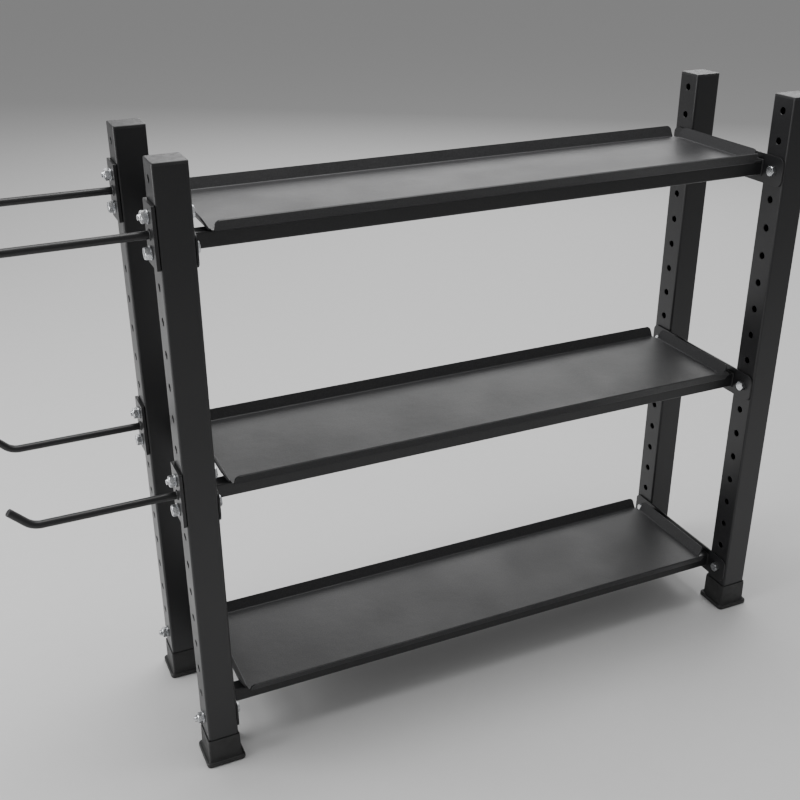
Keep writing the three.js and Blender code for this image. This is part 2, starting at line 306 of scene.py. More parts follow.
def join(name: str, pieces: list[bpy.types.Object]) -> bpy.types.Object:
    """Joins several meshes into one object.

    Args:
        name: The object's name.
        pieces: The meshes to join.

    Returns:
        The object.
    """
    rest()
    for piece in pieces:
        piece.select_set(True)
    bpy.context.view_layer.objects.active = pieces[0]
    bpy.ops.object.join()
    pieces[0].name = name
    return pieces[0]


def copy_of(source: bpy.types.Object, name: str, place: Matrix) -> bpy.types.Object:
    """Copies a piece with its own mesh.

    Args:
        source: The piece to copy.
        name: The copy's name.
        place: The move from the source's place to the copy's.

    Returns:
        The copy, with its place in its mesh.
    """
    copy = source.copy()
    copy.data = source.data.copy()
    copy.name = name
    copy.data.transform(place)
    bpy.context.scene.collection.objects.link(copy)
    return copy


def centre_of(node: str) -> Vector:
    """The middle of a node's box."""
    low, high = corners_of(node)
    return (low + high) / 2


def corners_of(node: str) -> tuple[Vector, Vector]:
    """The lowest and the highest corner of a node's box."""
    low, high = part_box(node)
    return Vector(low), Vector(high)


# ---------------------------------------------------------------- finishes


class Sheet:
    """A material's nodes, added and wired by name."""

    def __init__(self, name: str) -> None:
        """Starts a material with an empty principled surface.

        Args:
            name: The material's name.
        """
        self.material = bpy.data.materials.new(name)
        self.material.use_nodes = True
        self.tree = self.material.node_tree
        self.tree.nodes.clear()
        self.surface = self.tree.nodes.new("ShaderNodeBsdfPrincipled")
        output = self.tree.nodes.new("ShaderNodeOutputMaterial")
        self.wire(self.surface.outputs["BSDF"], output.inputs["Surface"])
        self.place = self.tree.nodes.new("ShaderNodeTexCoord").outputs["Object"]

    def wire(self, source: bpy.types.NodeSocket, target: bpy.types.NodeSocket) -> None:
        """Links two sockets."""
        self.tree.links.new(source, target)

    def feed(self, socket: str, source: bpy.types.NodeSocket) -> None:
        """Links a source into one of the surface's sockets."""
        self.wire(source, self.surface.inputs[socket])

    def noise(
        self, scale: float, detail: float = 2, stretch: tuple[float, float, float] = (1, 1, 1)
    ) -> bpy.types.NodeSocket:
        """Adds a noise pattern.

        Args:
            scale: How many features it has to a metre.
            detail: How many finer layers it has.
            stretch: How much each axis is squeezed.

        Returns:
            The pattern's value.
        """
        mapping = self.tree.nodes.new("ShaderNodeMapping")
        mapping.inputs["Scale"].default_value = stretch
        self.wire(self.place, mapping.inputs["Vector"])
        pattern = self.tree.nodes.new("ShaderNodeTexNoise")
        pattern.inputs["Scale"].default_value = scale
        pattern.inputs["Detail"].default_value = detail
        self.wire(mapping.outputs["Vector"], pattern.inputs["Vector"])
        return pattern.outputs["Fac"]

    def cells(self, scale: float) -> bpy.types.NodeSocket:
        """Adds a pattern of rounded cells and returns its distance value.

        Args:
            scale: Cells to a metre.

        Returns:
            The distance value.
        """
        pattern = self.tree.nodes.new("ShaderNodeTexVoronoi")
        pattern.inputs["Scale"].default_value = scale
        self.wire(self.place, pattern.inputs["Vector"])
        return pattern.outputs["Distance"]

    def ranged(
        self, value: bpy.types.NodeSocket, low: float, high: float, start: float, end: float
    ) -> bpy.types.NodeSocket:
        """Maps a value from one range to another.

        Args:
            value: The value to map.
            low: The value that gives start.
            high: The value that gives end.
            start: The result's first end.
            end: The result's other end.

        Returns:
            The mapped value.
        """
        node = self.tree.nodes.new("ShaderNodeMapRange")
        node.inputs["From Min"].default_value = low
        node.inputs["From Max"].default_value = high
        node.inputs["To Min"].default_value = start
        node.inputs["To Max"].default_value = end
        self.wire(value, node.inputs["Value"])
        return node.outputs["Result"]

    def blend(
        self,
        share: bpy.types.NodeSocket,
        first: tuple[float, float, float],
        second: tuple[float, float, float],
    ) -> bpy.types.NodeSocket:
        """Mixes two colours by a value and returns the mix.

        Args:
            share: The value.
            first: The colour at zero.
            second: The colour at one.

        Returns:
            The mix.
        """
        node = self.tree.nodes.new("ShaderNodeMix")
        node.data_type = "RGBA"
        node.inputs["A"].default_value = (*first, 1)
        node.inputs["B"].default_value = (*second, 1)
        self.wire(share, node.inputs["Factor"])
        return node.outputs["Result"]

    def bump(
        self,
        height: bpy.types.NodeSocket,
        depth: float,
        under: bpy.types.NodeSocket | None = None,
    ) -> bpy.types.NodeSocket:
        """Adds a bump of a depth in metres, over another one if given.

        Args:
            height: The height value.
            depth: The bump's depth in metres.
            under: The bump under it.

        Returns:
            The bent normal.
        """
        node = self.tree.nodes.new("ShaderNodeBump")
        node.inputs["Strength"].default_value = 1
        node.inputs["Distance"].default_value = depth
        self.wire(height, node.inputs["Height"])
        if under is not None:
            self.wire(under, node.inputs["Normal"])
        return node.outputs["Normal"]


@dataclass(frozen=True)
class PowderCoat:
    """Baked powder paint: near black, with a fine pebbled skin.

    Attributes:
        name: The material's name.
        dark: The darker of its two shades.
        light: The lighter of them.
        gloss: The roughness of its smoothest and its dullest spots.
        pebble: The depth of the pebbled skin in metres.
        grain: How many pebbles there are to a metre.
    """

    name: str
    dark: tuple[float, float, float]
    light: tuple[float, float, float]
    gloss: tuple[float, float]
    pebble: float
    grain: float

    def material(self) -> bpy.types.Material:
        """Builds the material.

        Returns:
            The material.
        """
        sheet = Sheet(self.name)
        broad = sheet.noise(7, 3)
        speck = sheet.noise(self.grain * 0.8, 2)
        shade = sheet.blend(sheet.ranged(speck, 0.35, 0.65, 0, 1), self.dark, self.light)
        sheet.feed("Base Color", shade)
        dull = sheet.ranged(broad, 0.3, 0.7, self.gloss[0], self.gloss[1])
        sheet.feed("Roughness", dull)
        skin = sheet.bump(sheet.noise(self.grain, 2), self.pebble)
        flow = sheet.bump(sheet.noise(self.grain / 9, 2), self.pebble * 1.5, skin)
        sheet.feed("Normal", flow)
        sheet.surface.inputs["Specular IOR Level"].default_value = 0.5
        return sheet.material


@dataclass(frozen=True)
class ZincPlate:
    """Bright zinc plating on turned and pressed steel.

    Attributes:
        name: The material's name.
        bright: Its brighter shade.
        cloudy: Its duller shade.
    """

    name: str = "bright_zinc"
    bright: tuple[float, float, float] = (0.80, 0.81, 0.82)
    cloudy: tuple[float, float, float] = (0.60, 0.62, 0.65)

    def material(self) -> bpy.types.Material:
        """Builds the material.

        Returns:
            The material.
        """
        sheet = Sheet(self.name)
        cloud = sheet.noise(220, 4)
        shade = sheet.blend(sheet.ranged(cloud, 0.35, 0.7, 0, 1), self.bright, self.cloudy)
        sheet.feed("Base Color", shade)
        dull = sheet.ranged(sheet.noise(900, 3), 0.3, 0.7, 0.2, 0.38)
        sheet.feed("Roughness", dull)
        turning = sheet.bump(sheet.noise(2600, 2, (3.0, 1.0, 1.0)), 0.00002)
        sheet.feed("Normal", turning)
        sheet.surface.inputs["Metallic"].default_value = 1
        return sheet.material


@dataclass(frozen=True)
class Moulding:
    """A moulded black rubber or plastic with a fine spark-eroded grain.

    Attributes:
        name: The material's name.
        dark: The darker of its two shades.
        light: The lighter of them.
        gloss: The roughness of its smoothest and its dullest spots.
        grain: How many grains there are to a metre.
        depth: The depth of the grain in metres.
    """

    name: str
    dark: tuple[float, float, float]
    light: tuple[float, float, float]
    gloss: tuple[float, float]
    grain: float
    depth: float

    def material(self) -> bpy.types.Material:
        """Builds the material.

        Returns:
            The material.
        """
        sheet = Sheet(self.name)
        bloom = sheet.noise(45, 4)
        shade = sheet.blend(sheet.ranged(bloom, 0.35, 0.7, 0, 1), self.dark, self.light)
        sheet.feed("Base Color", shade)
        dull = sheet.ranged(sheet.noise(120, 3), 0.3, 0.7, self.gloss[0], self.gloss[1])
        sheet.feed("Roughness", dull)
        sheet.feed("Normal", sheet.bump(sheet.cells(self.grain), self.depth))
        return sheet.material


@dataclass(frozen=True)
class StudioPaper:
    """The pale paper that the rack stands on."""

    name: str = "pale_paper"
    shade: tuple[float, float, float] = (0.72, 0.72, 0.72)

    def material(self) -> bpy.types.Material:
        """Builds the material.

        Returns:
            The material.
        """
        sheet = Sheet(self.name)
        fibre = sheet.noise(30, 4)
        darker = tuple(0.97 * part for part in self.shade)
        sheet.feed("Base Color", sheet.blend(fibre, self.shade, darker))
        sheet.surface.inputs["Roughness"].default_value = 0.9
        sheet.surface.inputs["Specular IOR Level"].default_value = 0.1
        return sheet.material


@dataclass
class Finishes:
    """The rack's finishes, each built once and shared."""

    frame_coat: bpy.types.Material = field(
        default_factory=lambda: PowderCoat(
            "frame_coat", (0.010, 0.010, 0.011), (0.019, 0.019, 0.020), (0.30, 0.40), 0.00005, 900
        ).material()
    )
    tray_coat: bpy.types.Material = field(
        default_factory=lambda: PowderCoat(
            "tray_coat", (0.014, 0.014, 0.015), (0.028, 0.028, 0.030), (0.40, 0.50), 0.00018, 560
        ).material()
    )
    zinc: bpy.types.Material = field(default_factory=lambda: ZincPlate().material())
    rubber: bpy.types.Material = field(
        default_factory=lambda: Moulding(
            "boot_rubber", (0.013, 0.013, 0.013), (0.022, 0.022, 0.022), (0.44, 0.58), 1500, 0.00004
        ).material()
    )
    plastic: bpy.types.Material = field(
        default_factory=lambda: Moulding(
            "cap_plastic", (0.020, 0.020, 0.021), (0.032, 0.032, 0.033), (0.36, 0.48), 1800, 0.00003
        ).material()
    )


def hand_over(
    piece: bpy.types.Object, finish: bpy.types.Material, body: str, node: str
) -> None:
    """Dresses a finished piece, ties it to its body and hides the node it stands for.

    Args:
        piece: The finished piece.
        finish: Its material.
        body: The body that it moves with.
        node: The node that it stands for.
    """
    piece.data.materials.clear()
    piece.data.materials.append(finish)
    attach(piece, body)
    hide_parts(node)
    LOG.info("%s: %d faces on %s", piece.name, len(piece.data.polygons), body)


def place_copies(
    source: bpy.types.Object,
    stem: str,
    nodes: dict[str, str],
    finish: bpy.types.Material,
    lifts: bool = False,
) -> None:
    """Copies a piece built at the first node to every node, and removes it.

    Args:
        source: The piece to copy.
        stem: The start of each copy's name.
        nodes: The node of each copy, by the end of the copy's name.
        finish: The copies' material.
        lifts: Whether each copy rides on its node's own body.
    """
    origin = centre_of(next(iter(nodes.values())))
    for word, node in nodes.items():
        copy = copy_of(source, f"{stem}_{word}", Matrix.Translation(centre_of(node) - origin))
        hand_over(copy, finish, f"{node}_body" if lifts else RACK_BODY, node)
    bpy.data.objects.remove(source, do_unlink=True)


def nodes_of(group: str, words: list[str]) -> dict[str, str]:
    """The nodes of a group, by the word that ends each one's name."""
    return {word: f"{group}_{word}" for word in words}


# ---------------------------------------------------------------- sub-assemblies


@dataclass
class Part:
    """A piece that is built in the box of one node and then copied to its group.

    Attributes:
        node: The node whose box it is built in.
    """

    node: str

    @property
    def box(self) -> tuple[Vector, Vector, Vector]:
        """The lowest corner, the highest corner and the middle of its box."""
        low, high = corners_of(self.node)
        return low, high, (low + high) / 2


@dataclass
class Uprights(Part):
    """Four perforated square tubes.

    Attributes:
        corner: Outer radius of the tube's corners.
        wall: Thickness of its wall.
        hole_radius: Radius of each hole.
        hole_lip: Width of the broken edge round each hole.
        flare: Height of the cone that breaks it.
        pitch: Distance between holes.
        first_drop: Distance from the rack's top to the first hole.
        lowest: Least height of a hole over the floor.
    """

    node: str = "upright_front_left"
    corner: float = 0.004
    wall: float = 0.0025
    hole_radius: float = 0.006
    hole_lip: float = 0.0006
    flare: float = 0.003
    pitch: float = 0.05
    first_drop: float = 0.025
    lowest: float = 0.035

    def drill(self) -> bpy.types.Object:
        """Makes the row of drills that cuts the holes.

        Returns:
            The drills as one object.
        """
        low, high, middle = self.box
        half = (high.x - low.x) / 2
        top = corners_of("cap_front_left")[1].z
        first = Vector((middle.x, middle.y, top - self.first_drop))
        drill = add_round(
            "drill", self.hole_radius, 2 * (half - self.hole_lip), first, Axis.X, 40
        )
        widened = (self.hole_radius + self.flare) / self.hole_radius
        for sign in (-1, 1):
            with editing(drill, Pick.FACES, lambda face, sign=sign: face.normal.x * sign > 0.9):
                extrude(X * sign * self.flare)
                bpy.ops.transform.resize(
                    value=(1, widened, widened),
                    center_override=first + X * sign * (half + self.flare),
                )
        count = math.floor((top - self.first_drop - self.lowest) / self.pitch + 1e-6) + 1
        apply_modifier(
            drill,
            "ARRAY",
            count=count,
            use_relative_offset=False,
            use_constant_offset=True,
            constant_offset_displace=(0, 0, -self.pitch),
        )
        return drill

    def build(self, finishes: Finishes) -> None:
        """Builds the four uprights.

        Args:
            finishes: The rack's finishes.
        """
        low, high, _ = self.box
        tube = add_block("upright_tube", low, high)
        round_edges(tube, self.corner, 6, lambda edge: along(edge, Z))
        with editing(tube, Pick.FACES, lambda face: abs(face.normal.z) > 0.9):
            bpy.ops.mesh.delete(type="FACE")
        apply_modifier(tube, "SOLIDIFY", thickness=self.wall, offset=-1, use_even_offset=True)
        combine(tube, self.drill())
        smooth(tube, 40)
        nodes = nodes_of("upright", CORNERS)
        place_copies(tube, "upright_tube", nodes, finishes.frame_coat)


@dataclass
class Caps(Part):
    """Four moulded caps in the tops of the uprights.

    Attributes:
        corner: Radius of the head's corners.
        head: Thickness of the head.
        edge: Rounding of the head's upper edge.
        seat: How far the head reaches down to the tube.
        skirt_gap: Gap between the skirt and the tube's outer size.
        skirt_wall: Thickness of the skirt.
        hollow: How much of the skirt's height is hollow.
    """

    node: str = "cap_front_left"
    corner: float = 0.004
    head: float = 0.004
    edge: float = 0.0018
    seat: float = 0.00025
    skirt_gap: float = 0.0028
    skirt_wall: float = 0.003
    hollow: float = 0.9

    def build(self, finishes: Finishes) -> None:
        """Builds the four caps.

        Args:
            finishes: The rack's finishes.
        """
        low, high, _ = self.box
        seat = high.z - self.head - self.seat
        cap = add_block("cap", Vector((low.x, low.y, seat)), high)
        round_edges(cap, self.corner, 6, lambda edge: along(edge, Z))
        round_edges(
            cap, self.edge, 4, lambda edge: all(p.co.z > high.z - 1e-5 for p in edge.verts)
        )
        with editing(cap, Pick.FACES, lambda face: face.normal.z < -0.9):
            bpy.ops.mesh.inset(thickness=self.skirt_gap)
            extrude(Z * (low.z - seat))
            bpy.ops.mesh.inset(thickness=self.skirt_wall)
            extrude(Z * (seat - low.z) * self.hollow)
        smooth(cap, 40)
        nodes = nodes_of("cap", CORNERS)
        place_copies(cap, "cap_moulding", nodes, finishes.plastic)


@dataclass
class Boots(Part):
    """Four rubber boots under the uprights.

    Attributes:
        corner: Radius of the flange's corners.
        flange: Height of the flange.
        flange_edge: Rounding of the flange's edges.
        ledge: Width of the flat ledge on the flange, and of the rim's slope.
        waist: How far the sleeve narrows over its foot.
        rises: Shares of the sleeve's height in its foot, its wall and its rim.
        rim: Width over the sleeve's rim.
        rim_wall: Thickness of the rim round the tube.
        sole: Thickness of rubber under the tube.
    """

    node: str = "boot_front_left"
    corner: float = 0.007
    flange: float = 0.009
    flange_edge: float = 0.0028
    ledge: float = 0.0012
    waist: float = 0.0035
    rises: tuple[float, float, float] = (0.08, 0.80, 0.12)
    rim: float = 0.0526
    rim_wall: float = 0.0007
    sole: float = 0.0102

    def build(self, finishes: Finishes) -> None:
        """Builds the four boots.

        Args:
            finishes: The rack's finishes.
        """
        low, high, centre = self.box

        def is_level(edge: bmesh.types.BMEdge) -> bool:
            """Whether an edge runs level."""
            return abs(edge.verts[0].co.z - edge.verts[1].co.z) < 1e-6

        boot = add_block("boot", low, Vector((high.x, high.y, low.z + self.flange)))
        round_edges(boot, self.corner, 6, lambda edge: along(edge, Z))
        round_edges(boot, self.flange_edge, 4, is_level)
        inner = high.x - low.x - 2 * (self.flange_edge + self.ledge)
        widths = (inner, inner - self.waist, self.rim + self.ledge, self.rim)
        rise = high.z - low.z - self.flange
        with editing(boot, Pick.FACES, lambda face: face.normal.z > 0.999):
            bpy.ops.mesh.inset(thickness=self.ledge)
            for share, before, after in zip(self.rises, widths, widths[1:], strict=False):
                extrude(Z * rise * share)
                scale = after / before
                bpy.ops.transform.resize(value=(scale, scale, 1), center_override=centre)
            bpy.ops.mesh.inset(thickness=self.rim_wall)
            extrude(Z * (low.z + self.sole - high.z))
        smooth(boot, 50)
        nodes = nodes_of("boot", CORNERS)
        place_copies(boot, "boot_moulding", nodes, finishes.rubber)


@dataclass
class ShelfFrames(Part):
    """Three welded frames, each of two square beams between two end plates.

    Attributes:
        plate: Thickness of an end plate.
        plate_corner: Radius of its corners.
        hole_radius: Radius of its bolt holes.
        beam: Width of a beam.
        beam_corner: Radius of a beam's corners.
        beam_inset: Distance from the rack's face to a beam.
        plate_inset: Distance from the rack's face to a plate's end.
        bolt_inset: Distance from a plate's end to its bolt hole.
        vent_radius: Radius of the vent holes under the beams.
        vent_place: Distance of a vent hole from the plate.
        bead: Radius of the weld beads.
    """

    node: str = "shelf_frame_top"
    plate: float = 0.003
    plate_corner: float = 0.012
    hole_radius: float = 0.006
    beam: float = 0.025
    beam_corner: float = 0.003
    beam_inset: float = 0.051
    plate_inset: float = 0.002
    bolt_inset: float = 0.023
    vent_radius: float = 0.003
    vent_place: float = 0.04
    bead: float = 0.0019

    def build_plate(self, side: Side) -> bpy.types.Object:
        """Builds one end plate with its bolt holes.

        Args:
            side: Which end the plate is at.

        Returns:
            The plate.
        """
        low, high, middle = self.box
        start = low.x if side is Side.LEFT else high.x - self.plate
        plate = add_block(
            f"plate_{side.word}",
            Vector((start, low.y, low.z)),
            Vector((start + self.plate, high.y, high.z)),
        )
        round_edges(plate, self.plate_corner, 8, lambda edge: along(edge, X))
        for y in (low.y + self.bolt_inset, high.y - self.bolt_inset):
            place = Vector((start + self.plate / 2, y, middle.z))
            combine(plate, add_round("drill", self.hole_radius, 0.02, place, Axis.X, 40))
        soften(plate, 0.0006)
        return plate

    def beam_place(self, row: Row) -> tuple[Vector, float]:
        """Finds a beam's middle, and half its length between the plates.

        Args:
            row: The beam's row.

        Returns:
            The middle and the half length.
        """
        low, high, middle = self.box
        half = (high - low) / 2
        middle.y += row.value * (half.y + self.plate_inset - self.beam_inset - self.beam / 2)
        return middle, half.x - self.plate

    def build_beam(self, row: Row) -> bpy.types.Object:
        """Builds one beam with its vent holes.

        Args:
            row: Which side of the frame it is on.

        Returns:
            The beam.
        """
        centre, half = self.beam_place(row)
        reach = Vector((half + self.plate / 2, self.beam / 2, self.beam / 2))
        beam = add_block(f"beam_{row.word}", centre - reach, centre + reach)
        round_edges(beam, self.beam_corner, 6, lambda edge: along(edge, X))
        for sign in (-1, 1):
            vent = centre + X * sign * (half - self.vent_place) - Z * self.beam / 2
            combine(beam, add_round("vent", self.vent_radius, 0.008, vent, Axis.Z, 24))
        return beam

    def build_bead(self, row: Row, side: Side) -> bpy.types.Object:
        """Builds the rippled weld round one end of a beam.

        Args:
            row: Which beam it is on.
            side: Which end it is at.

        Returns:
            The weld.
        """
        centre, length = self.beam_place(row)
        centre += X * side.value * length
        half = self.beam / 2
        count = math.floor(2 * half / (self.bead * 1.15))
        ripple = add_round("ripple", self.bead, self.bead * 1.5, centre, Axis.Y, 12)
        soften(ripple, self.bead * 0.35, 2)
        ripples = []
        for index in range(count + 1):
            slide = -half + index * (2 * half / count)
            for turn, shift in (
                (0.0, Vector((0, slide, half))),
                (0.0, Vector((0, slide, -half))),
                (math.pi / 2, Vector((0, half, slide))),
                (math.pi / 2, Vector((0, -half, slide))),
            ):
                place = (
                    Matrix.Translation(centre + shift)
                    @ Matrix.Rotation(turn, 4, "X")
                    @ Matrix.Translation(-centre)
                )
                ripples.append(copy_of(ripple, "ripple_copy", place))
        bpy.data.objects.remove(ripple, do_unlink=True)
        return join(f"bead_{row.word}_{side.word}", ripples)

    def build(self, finishes: Finishes) -> None:
        """Builds the three frames.

        Args:
            finishes: The rack's finishes.
        """
        beams = [self.build_beam(row) for row in Row]
        plates = [self.build_plate(side) for side in Side]
        beads = [self.build_bead(row, side) for row in Row for side in Side]
        steel = join("frame", beams + plates)
        smooth(steel, 35)
        weld = join("weld", beads)
        smooth(weld, 60)
        nodes = nodes_of("shelf_frame", LEVELS)
        place_copies(steel, "welded_frame", nodes, finishes.frame_coat)
        place_copies(weld, "weld_beads", nodes, finishes.frame_coat)


@dataclass
class Trays(Part):
    """Three folded sheet trays with a lip, leaning outwards, on all four edges.

    Attributes:
        sheet: Thickness of the sheet.
        angle: How far a lip is folded up from the floor.
        bend: Outer radius of the folds.
        height: Height of a lip.
        long_start: Distance from a corner at which a long lip starts.
        short_start: Distance from a corner at which a short lip starts.
        lip_corner: Radius of a lip's upper corners.
        edge: Rounding of the sheet's cut edges.
    """

    node: str = "tray_top"
    sheet: float = 0.0025
    angle: float = math.pi / 3
    bend: float = 0.005
    height: float = 0.020
    long_start: float = 0.016
    short_start: float = 0.024
    lip_corner: float = 0.008
    edge: float = 0.0004

    @property
    def rise(self) -> float:
        """How high the skin of a lip reaches."""
        return self.height - self.sheet * math.cos(self.angle)

    @property
    def lean(self) -> float:
        """How far out a lip leans from its fold."""
        return self.rise / math.tan(self.angle)

    @property
    def setback(self) -> float:
        """How far from its fold line a fold starts to curve."""
        return self.bend * math.tan(self.angle / 2)

    def build_blank(self) -> bpy.types.Object:
        """Builds the sheet's outer skin: floor and lips, still with no thickness.

        Returns:
            The skin, facing down and outwards.
        """
        rest()
        low, high, middle = self.box
        bpy.ops.mesh.primitive_plane_add(size=1, location=(middle.x, middle.y, low.z))
        skin = bpy.context.active_object
        skin.name = "tray_skin"
        skin.scale = (
            high.x - low.x - 2 * (self.lean + self.setback),
            high.y - low.y - 2 * (self.lean + self.setback),
            1,
        )
        settle(skin)
        cuts = (
            (X, low.x + self.long_start),
            (X, high.x - self.long_start),
            (Y, low.y + self.short_start),
            (Y, high.y - self.short_start),
        )
        for normal, place in cuts:
            with editing(skin, Pick.FACES):
                bpy.ops.mesh.bisect(plane_co=normal * place, plane_no=normal)
        for normal, reach in ((-Y, -low.y), (Y, high.y), (-X, -low.x), (X, high.x)):
            self.raise_lip(skin, normal, reach)
        return skin

    def raise_lip(self, skin: bpy.types.Object, normal: Vector, reach: float) -> None:
        """Extrudes one edge of the floor out to its fold, then up and outwards.

        Args:
            skin: The sheet's skin.
            normal: The way the lip faces.
            reach: How far its edge lies along that way.
        """
        border = reach - self.lean - self.setback
        start = self.long_start if normal.x == 0 else self.short_start
        across = Vector((abs(normal.y), abs(normal.x), 0))
        low, high, _ = self.box
        first = low.dot(across) + start - 1e-5
        last = high.dot(across) - start + 1e-5

        def on_border(edge: bmesh.types.BMEdge) -> bool:
            """Whether an edge is the floor's border under this lip.

            Args:
                edge: The edge to test.

            Returns:
                Whether it is.
            """
            return all(
                abs(p.co.dot(normal) - border) < 1e-5 and first < p.co.dot(across) < last
                for p in edge.verts
            )

        with editing(skin, Pick.EDGES, on_border):
            extrude(normal * self.setback)
            extrude(normal * self.lean + Z * self.rise)

    def build(self, finishes: Finishes) -> None:
        """Builds the three trays.

        Args:
            finishes: The rack's finishes.
        """
        low, high, centre = self.box
        tray = self.build_blank()

        def on_fold(edge: bmesh.types.BMEdge) -> bool:
            """Whether an edge is a fold between the floor and a lip.

            Args:
                edge: The edge to test.

            Returns:
                Whether it is.
            """
            return all(
                p.co.z < low.z + 1e-5
                and (
                    abs(abs(p.co.x - centre.x) - (high.x - low.x) / 2 + self.lean) < 1e-5
                    or abs(abs(p.co.y - centre.y) - (high.y - low.y) / 2 + self.lean) < 1e-5
                )
                for p in edge.verts
            )

        round_edges(tray, self.setback * 0.99, 8, on_fold)
        top = low.z + self.rise - 1e-5
        with editing(tray, Pick.VERTICES, lambda point: point.co.z > top):
            bpy.ops.mesh.bevel(
                offset_type="OFFSET", offset=self.lip_corner, segments=8, affect="VERTICES"
            )
        with editing(tray, Pick.FACES):
            bpy.ops.mesh.remove_doubles(threshold=1e-6)
            bpy.ops.mesh.normals_make_consistent(inside=False)
        self.face_outwards(tray)
        apply_modifier(tray, "SOLIDIFY", thickness=self.sheet, offset=-1, use_even_offset=True)
        soften(tray, self.edge, 2, 50)
        smooth(tray, 30)
        nodes = nodes_of("tray", LEVELS)
        place_copies(tray, "tray_sheet", nodes, finishes.tray_coat, lifts=True)

    def face_outwards(self, skin: bpy.types.Object) -> None:
        """Turns the skin over if its floor faces up, so that the wall grows inwards.

        Args:
            skin: The tray's skin.
        """
        floor = max(skin.data.polygons, key=lambda face: face.area)
        if floor.normal.z > 0:
            with editing(skin, Pick.FACES):
                bpy.ops.mesh.flip_normals()


@dataclass
class Hooks(Part):
    """Four bracket plates, each with a rod welded to it.

    Attributes:
        plate: Thickness of the bracket.
        plate_corner: Radius of its corners.
        rod_radius: Radius of the rod.
        reach: Distance from the upright to the rod's bend.
        bend_radius: Radius of the bend at the rod's middle.
        bend_angle: Angle of the bend.
        tip: Length of the straight tip.
        hole_radius: Radius of the bolt holes.
        pitch: Distance between them.
        gap: Gap between bracket and upright.
    """

    node: str = "hook_upper_front"
    plate: float = 0.005
    plate_corner: float = 0.0025
    rod_radius: float = 0.006
    reach: float = 0.2
    bend_radius: float = 0.03
    bend_angle: float = math.pi / 4
    tip: float = 0.03
    hole_radius: float = 0.006
    pitch: float = 0.05
    gap: float = 0.0003

    def build_bracket(self) -> bpy.types.Object:
        """Builds the bracket plate with its two bolt holes.

        Returns:
            The bracket.
        """
        low, high, middle = self.box
        bracket = add_block("bracket", Vector((high.x - self.plate, low.y, low.z)), high)
        round_edges(bracket, self.plate_corner, 5, lambda edge: along(edge, X))
        for sign in (-1, 1):
            place = Vector((high.x, middle.y, middle.z + sign * self.pitch / 2))
            combine(bracket, add_round("drill", self.hole_radius, 0.03, place, Axis.X, 40))
        soften(bracket, 0.0006)
        return bracket

    def build_rod(self) -> bpy.types.Object:
        """Builds the rod, bent up at its outer end.

        Returns:
            The rod.
        """
        _, high, middle = self.box
        start = high.x - self.plate / 2
        bend = high.x + self.gap - self.reach
        rod = add_round(
            "rod",
            self.rod_radius,
            start - bend,
            Vector(((start + bend) / 2, middle.y, middle.z)),
            Axis.X,
            32,
        )
        pivot = Vector((bend, middle.y, middle.z + self.bend_radius))
        steps = 12
        turn = self.bend_angle / steps
        with editing(rod, Pick.FACES, lambda face: face.normal.x < -0.9):
            for _ in range(steps):
                extrude(Vector())
                self.turn_selected(rod, pivot, turn)
            ahead = Vector((-math.cos(self.bend_angle), 0, math.sin(self.bend_angle)))
            extrude(ahead * self.tip)
        soften(rod, 0.0012, 3, 60)
        return rod

    def turn_selected(self, rod: bpy.types.Object, pivot: Vector, angle: float) -> None:
        """Turns the selected end of the rod upwards about the bend's middle.

        Args:
            rod: The rod, open for editing.
            pivot: The bend's middle.
            angle: The turn, in radians.
        """
        mesh = bmesh.from_edit_mesh(rod.data)
        turn = Matrix.Rotation(angle, 3, "Y")
        for point in mesh.verts:
            if point.select:
                point.co = turn @ (point.co - pivot) + pivot
        mesh.normal_update()
        bmesh.update_edit_mesh(rod.data)

    def build_weld(self) -> bpy.types.Object:
        """Builds the rippled weld where the rod meets the bracket.

        Returns:
            The weld.
        """
        rest()
        _, high, middle = self.box
        count = 22
        ripples = []
        centre = Vector((high.x - self.plate, middle.y, middle.z))
        ripple = add_round("ripple", 0.0019, 0.0028, centre, Axis.Y, 12)
        soften(ripple, 0.0007, 2)
        for index in range(count):
            angle = 2 * math.pi * index / count
            place = (
                Matrix.Translation(centre)
                @ Matrix.Rotation(angle, 4, "X")
                @ Matrix.Translation(Z * (self.rod_radius + 0.0003))
                @ Matrix.Translation(-centre)
            )
            ripples.append(copy_of(ripple, "ripple_copy", place))
        bpy.data.objects.remove(ripple, do_unlink=True)
        return join("rod_weld", ripples)

    def build(self, finishes: Finishes) -> None:
        """Builds the four hooks.

        Args:
            finishes: The rack's finishes.
        """
        steel = join("hook", [self.build_bracket(), self.build_rod()])
        smooth(steel, 35)
        weld = self.build_weld()
        smooth(weld, 60)
        words = [f"{height}_{row.word}" for height in ("upper", "lower") for row in Row]
        nodes = nodes_of("hook", words)
        place_copies(steel, "hook_rod", nodes, finishes.frame_coat)
        place_copies(weld, "hook_weld", nodes, finishes.frame_coat)


